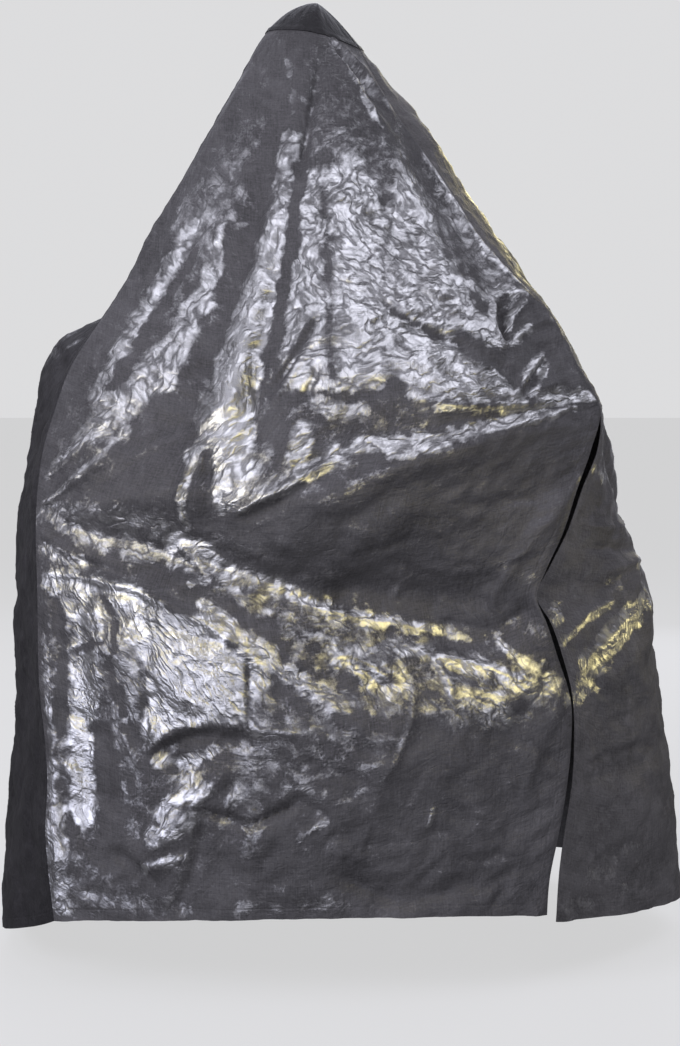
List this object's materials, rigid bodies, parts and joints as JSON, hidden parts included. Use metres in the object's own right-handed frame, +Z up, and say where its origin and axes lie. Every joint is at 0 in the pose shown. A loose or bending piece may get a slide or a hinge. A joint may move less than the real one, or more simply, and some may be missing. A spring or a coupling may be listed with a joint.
{
  "type": "hanging chair cover",
  "caption": "Loose protective cover draped over a hanging chair and its stand, peaked at the top, open below, slit down one side so that a flap hangs free.",
  "frame": {"origin": "underside of the peak, where the cover sits on the top of its stand", "axes": "+Z up, -Y towards the front panel, +X towards the side with the slit"},
  "size_m": [1.3729, 0.8967, 1.8309],
  "materials": {
    "top_cap": "woven plastic sheet with a glossy crinkled film",
    "front_panel": "woven plastic sheet with a glossy crinkled film",
    "left_panel": "woven plastic sheet with a glossy crinkled film",
    "back_panel": "woven plastic sheet with a glossy crinkled film",
    "right_panel": "woven plastic sheet with a glossy crinkled film"
  },
  "bodies": {
    "root": {"top_cap": "top_cap", "front_panel": "front_panel", "left_panel": "left_panel", "back_panel": "back_panel", "right_panel": "right_panel"}
  },
  "joints": []
}
